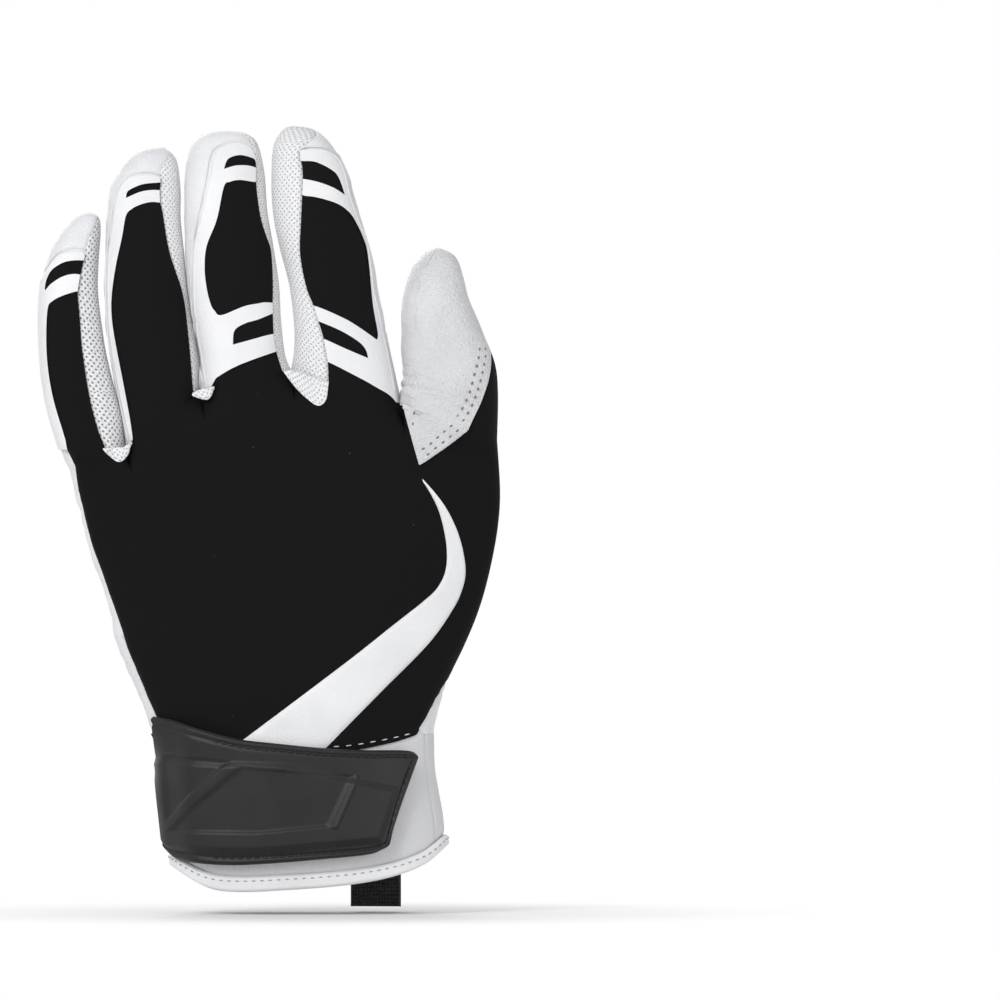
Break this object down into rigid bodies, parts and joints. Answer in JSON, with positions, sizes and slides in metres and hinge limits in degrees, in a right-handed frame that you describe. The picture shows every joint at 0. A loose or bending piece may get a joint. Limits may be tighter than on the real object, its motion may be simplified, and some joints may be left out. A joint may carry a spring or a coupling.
{
  "type": "batting glove",
  "caption": "Left-hand batting glove with a leather palm, knit back, mesh finger gussets, padded cuff and a moulded wrap-over wrist closure.",
  "frame": {"origin": "centre of the wrist opening, at the level of the hem's lowest point", "axes": "+Z from the wrist to the fingertips, +Y out of the palm, +X towards the thumb"},
  "size_m": [0.1423, 0.0512, 0.2435],
  "materials": {
    "leather_white": "soft sheepskin with a fine grain",
    "knit_black": "fine stretch knit",
    "mesh_white": "open mesh",
    "cuff_knit": "padded fine knit",
    "rubber_black": "moulded satin",
    "hook_and_loop": "hook and loop",
    "webbing_black": "woven tape"
  },
  "bodies": {
    "hand": {"palm_leather": "leather_white", "back_panel": "knit_black", "back_stripe": "leather_white", "thumb_point": "leather_white", "palm_pad": "leather_white", "index_root_pad": "leather_white", "thumb_web_pad": "leather_white", "palm_piping": "leather_white", "wrist_placket": "leather_white", "cuff_band": "cuff_knit", "cuff_hem": "leather_white", "loop_patch": "hook_and_loop", "closure_strap": "rubber_black", "closure_frame": "rubber_black", "closure_window": "mesh_white", "pull_tab_base": "webbing_black"},
    "pinky_base": {"pinky_base_palm": "leather_white", "pinky_base_back": "knit_black", "pinky_pad": "leather_white", "pinky_base_gusset": "mesh_white"},
    "pinky_tip": {"pinky_tip_palm": "leather_white", "pinky_tip_back": "knit_black", "pinky_tip_gusset": "mesh_white"},
    "ring_base": {"ring_base_palm": "leather_white", "ring_base_back": "knit_black", "ring_pad": "leather_white", "ring_base_gusset": "mesh_white"},
    "ring_tip": {"ring_tip_palm": "leather_white", "ring_tip_back": "knit_black", "ring_tip_gusset": "mesh_white"},
    "middle_base": {"middle_base_palm": "leather_white", "middle_base_back": "knit_black", "middle_pad": "leather_white", "middle_base_gusset": "mesh_white"},
    "middle_tip": {"middle_tip_palm": "leather_white", "middle_tip_back": "knit_black", "middle_tip_gusset": "mesh_white"},
    "index_base": {"index_base_palm": "leather_white", "index_base_back": "knit_black", "index_pad": "leather_white", "index_base_gusset": "mesh_white"},
    "index_tip": {"index_tip_palm": "leather_white", "index_tip_back": "knit_black", "index_tip_gusset": "mesh_white"},
    "thumb_base": {"thumb_base_palm": "leather_white", "thumb_base_back": "leather_white", "thumb_pad": "leather_white"},
    "thumb_tip": {"thumb_tip_palm": "leather_white", "thumb_tip_back": "leather_white"},
    "closure": {"closure_tab": "rubber_black", "hook_patch": "hook_and_loop"},
    "pull_tab_end": {"pull_tab": "webbing_black"}
  },
  "joints": [
    {"name": "pinky_knuckle", "type": "hinge", "parent": "hand", "child": "pinky_base", "pos_m": [-0.07142, 0.01067, 0.13751], "axis": [-0.9903, 0, -0.1392], "range_deg": [0, 85]},
    {"name": "pinky_middle_joint", "type": "hinge", "parent": "pinky_base", "child": "pinky_tip", "pos_m": [-0.07473, 0.01454, 0.17353], "axis": [-0.9976, 0, -0.0698], "range_deg": [0, 95]},
    {"name": "ring_knuckle", "type": "hinge", "parent": "hand", "child": "ring_base", "pos_m": [-0.05017, 0.01226, 0.15415], "axis": [-0.9976, 0, -0.0698], "range_deg": [0, 85]},
    {"name": "ring_middle_joint", "type": "hinge", "parent": "ring_base", "child": "ring_tip", "pos_m": [-0.05241, 0.01637, 0.18948], "axis": [-0.9976, 0, -0.0698], "range_deg": [0, 95]},
    {"name": "middle_knuckle", "type": "hinge", "parent": "hand", "child": "middle_base", "pos_m": [-0.02368, 0.01331, 0.16024], "axis": [-0.9976, 0, -0.0698], "range_deg": [0, 85]},
    {"name": "middle_middle_joint", "type": "hinge", "parent": "middle_base", "child": "middle_tip", "pos_m": [-0.02648, 0.0177, 0.19724], "axis": [-0.9976, 0, -0.0698], "range_deg": [0, 95]},
    {"name": "index_knuckle", "type": "hinge", "parent": "hand", "child": "index_base", "pos_m": [0.01037, 0.01275, 0.16321], "axis": [-0.9945, 0, -0.1045], "range_deg": [0, 85]},
    {"name": "index_middle_joint", "type": "hinge", "parent": "index_base", "child": "index_tip", "pos_m": [0.00345, 0.01738, 0.19905], "axis": [-0.9945, 0, -0.1045], "range_deg": [0, 95]},
    {"name": "thumb_knuckle", "type": "hinge", "parent": "hand", "child": "thumb_base", "pos_m": [0.04279, 0.01369, 0.15195], "axis": [-0.9976, 0, -0.0698], "range_deg": [0, 50]},
    {"name": "thumb_middle_joint", "type": "hinge", "parent": "thumb_base", "child": "thumb_tip", "pos_m": [0.04159, 0.01756, 0.17596], "axis": [-0.9976, 0, -0.0698], "range_deg": [0, 70]},
    {"name": "closure_opening", "type": "hinge", "parent": "hand", "child": "closure", "pos_m": [-0.05045, 0, 0.032], "axis": [0.127, 0, -0.9919], "range_deg": [0, 150]},
    {"name": "pull_tab_swing", "type": "hinge", "parent": "hand", "child": "pull_tab_end", "pos_m": [0.02034, 0.02195, 0.01438], "axis": [0.9791, -0.2032, 0], "range_deg": [0, 110]}
  ]
}
